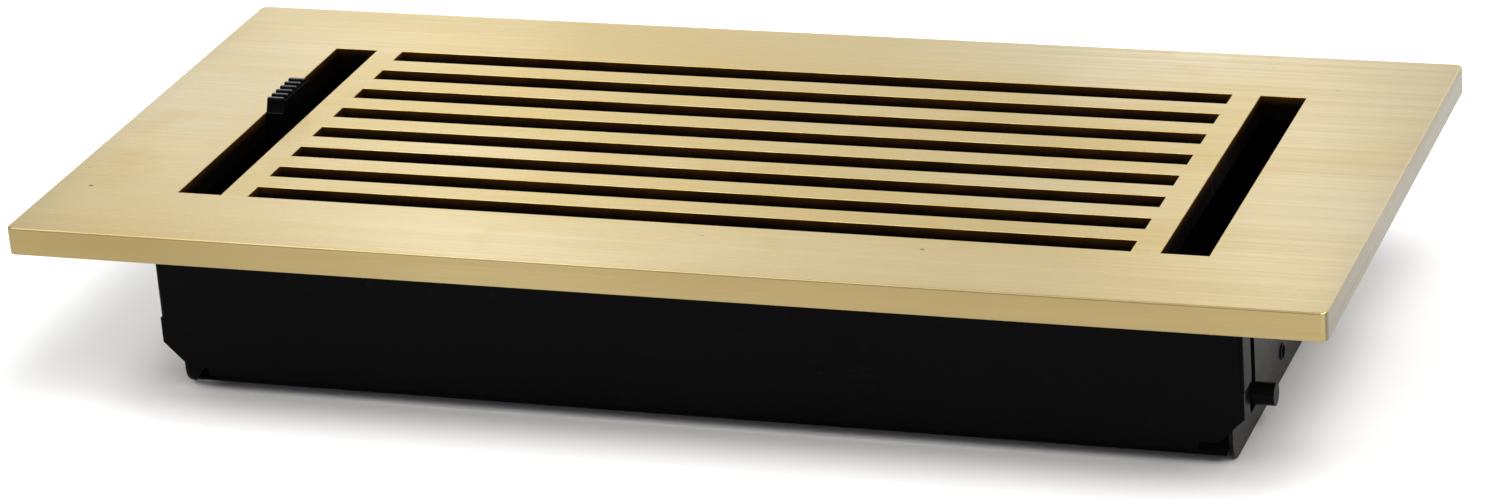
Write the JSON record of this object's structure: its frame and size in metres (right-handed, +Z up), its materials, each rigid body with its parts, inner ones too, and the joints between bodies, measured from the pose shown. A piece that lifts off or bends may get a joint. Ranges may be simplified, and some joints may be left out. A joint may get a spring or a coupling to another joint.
{
  "type": "floor register",
  "caption": "Brass linear-bar floor register: a thick slotted faceplate over a black steel damper box, with two coupled blades worked by a ribbed thumb knob in the side slot.",
  "frame": {"origin": "centre of the seating plane under the faceplate's rim, on the floor surface", "axes": "+X along the register's length, +Y away from its front edge, +Z up out of the floor"},
  "size_m": [0.2922, 0.1396, 0.0505],
  "materials": {
    "brass": "satin brushed",
    "black_steel": "fine satin powder coat",
    "black_plastic": "fine matte moulding",
    "zinc_steel": "zinc plated"
  },
  "bodies": {
    "grille": {"faceplate": "brass", "front_wall": "black_steel", "rear_wall": "black_steel", "left_end_plate": "black_steel", "right_end_plate": "black_steel", "flange_screws": "zinc_steel", "screw_washers": "zinc_steel"},
    "front_damper": {"front_blade": "black_steel", "front_crank_cap": "black_plastic", "front_pivot_cap": "black_plastic", "front_blade_rivets": "zinc_steel", "front_spring_washer": "zinc_steel", "front_link_clip": "zinc_steel"},
    "rear_damper": {"rear_blade": "black_steel", "rear_crank_cap": "black_plastic", "rear_pivot_cap": "black_plastic", "rear_blade_rivets": "zinc_steel", "rear_spring_washer": "zinc_steel", "rear_link_clip": "zinc_steel"},
    "link": {"link_bar": "black_steel", "thumb_knob": "black_plastic"}
  },
  "joints": [
    {"name": "damper_swing", "type": "hinge", "parent": "grille", "child": "front_damper", "pos_m": [0, -0.024, -0.0336], "axis": [1, 0, 0], "range_deg": [-10.5, 79.5]},
    {"name": "rear_damper_swing", "type": "hinge", "parent": "grille", "child": "rear_damper", "pos_m": [0, 0.024, -0.0336], "axis": [1, 0, 0], "range_deg": [-10.5, 79.5]},
    {"name": "link_swing", "type": "hinge", "parent": "front_damper", "child": "link", "pos_m": [-0.1166, -0.01386, -0.01885], "axis": [1, 0, 0], "range_deg": [-79.5, 10.5]}
  ],
  "couplings": [
    {"joint": "rear_damper_swing", "follows": "damper_swing", "ratio": 1},
    {"joint": "link_swing", "follows": "damper_swing", "ratio": -1}
  ]
}
